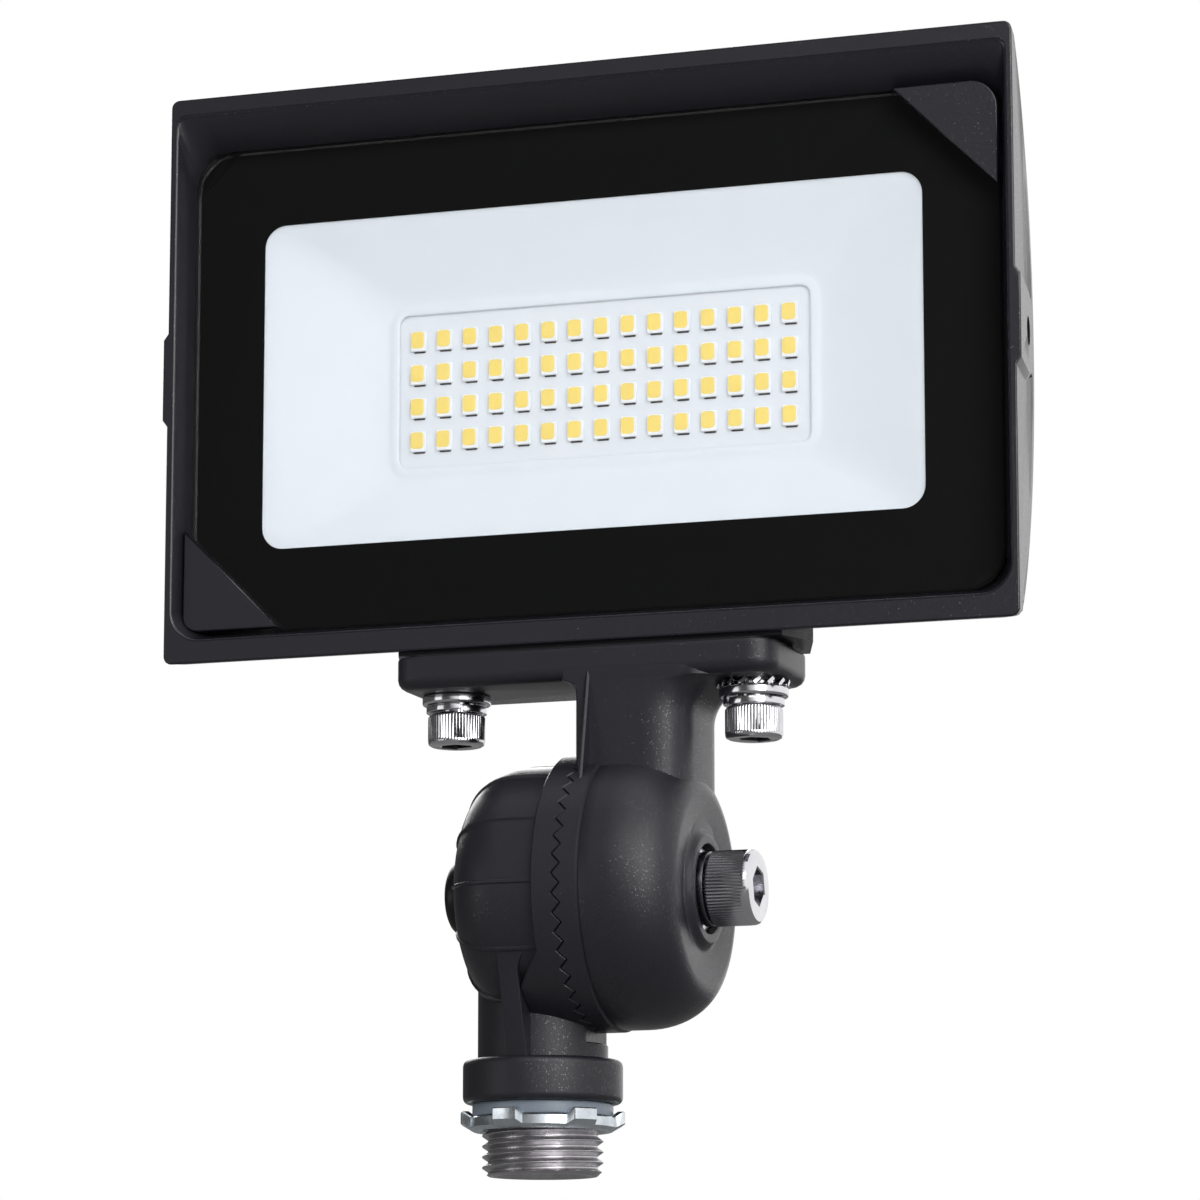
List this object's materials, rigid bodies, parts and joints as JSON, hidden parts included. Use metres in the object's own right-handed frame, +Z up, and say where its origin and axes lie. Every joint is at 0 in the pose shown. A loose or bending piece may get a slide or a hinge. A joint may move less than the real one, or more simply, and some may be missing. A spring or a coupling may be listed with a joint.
{
  "type": "led flood light",
  "caption": "Outdoor LED flood light: finned rectangular head behind flat glass, tilting on a toothed two-part knuckle with pivot bolt, over a threaded conduit nipple with locknut.",
  "frame": {"origin": "centre of the conduit nipple's free end", "axes": "+Z up along the nipple, the lit face looks along -Y, +X is the viewer's right, along the pivot bolt towards its head"},
  "size_m": [0.1573, 0.048, 0.1934],
  "materials": {
    "powder_coat": "fine-textured powder coat",
    "clear_glass": "polished",
    "black_print": "baked print",
    "white_tray": "smooth",
    "white_board": "satin",
    "led_body": "satin",
    "phosphor": "smooth",
    "steel": "bright zinc",
    "black_cap": "moulded",
    "grey_rubber": "moulded",
    "nipple_metal": "as machined",
    "black_silicone": "moulded",
    "white_silicone": "moulded",
    "chip_black": "moulded"
  },
  "bodies": {
    "base": {"lower_knuckle": "powder_coat", "conduit_nipple": "nipple_metal", "pivot_nut": "steel", "nut_cap": "black_cap"},
    "pivot_washers": {"pivot_flat_washer": "steel", "pivot_spring_washer": "steel"},
    "head": {"housing": "powder_coat", "front_glass": "clear_glass", "glass_border": "black_print", "glass_gasket": "black_silicone", "upper_clamp": "powder_coat", "lower_clamp": "powder_coat", "reflector": "white_tray", "led_board": "white_board", "led_packages": "led_body", "led_phosphors": "phosphor", "thermal_pad": "white_silicone", "board_screws": "steel", "board_regulators": "chip_black", "upper_knuckle": "powder_coat", "plate_screws": "steel", "plate_flat_washers": "steel", "plate_spring_washers": "steel", "tooth_lock_washer": "steel", "plate_seal": "grey_rubber"},
    "pivot_bolt": {"pivot_bolt": "steel"},
    "sealing_ring": {"sealing_ring": "grey_rubber"},
    "locknut": {"locknut": "steel"}
  },
  "joints": [
    {"name": "washer_slide", "type": "slide", "parent": "base", "child": "pivot_washers", "axis": [1, 0, 0], "range_m": [0, 0.0025]},
    {"name": "pivot_bolt_turn", "type": "hinge", "parent": "pivot_washers", "child": "pivot_bolt", "pos_m": [0.0104, 0, 0.0483], "axis": [1, 0, 0], "range_deg": [0, 720]},
    {"name": "knuckle_tilt", "type": "hinge", "parent": "base", "child": "head", "pos_m": [0.0104, 0, 0.0483], "axis": [1, 0, 0], "range_deg": [-88, 88]},
    {"name": "ring_slide", "type": "slide", "parent": "base", "child": "sealing_ring", "axis": [0, 0, -1], "range_m": [0, 0.00726]},
    {"name": "locknut_turn", "type": "hinge", "parent": "sealing_ring", "child": "locknut", "pos_m": [0, 0, 0.0088], "axis": [0, 0, -1], "range_deg": [0, 1440]}
  ],
  "couplings": [
    {"joint": "pivot_bolt_turn", "follows": "washer_slide", "rad_per_m": 5026.5},
    {"joint": "ring_slide", "follows": "locknut_turn", "m_per_rad": 0.00028875}
  ]
}
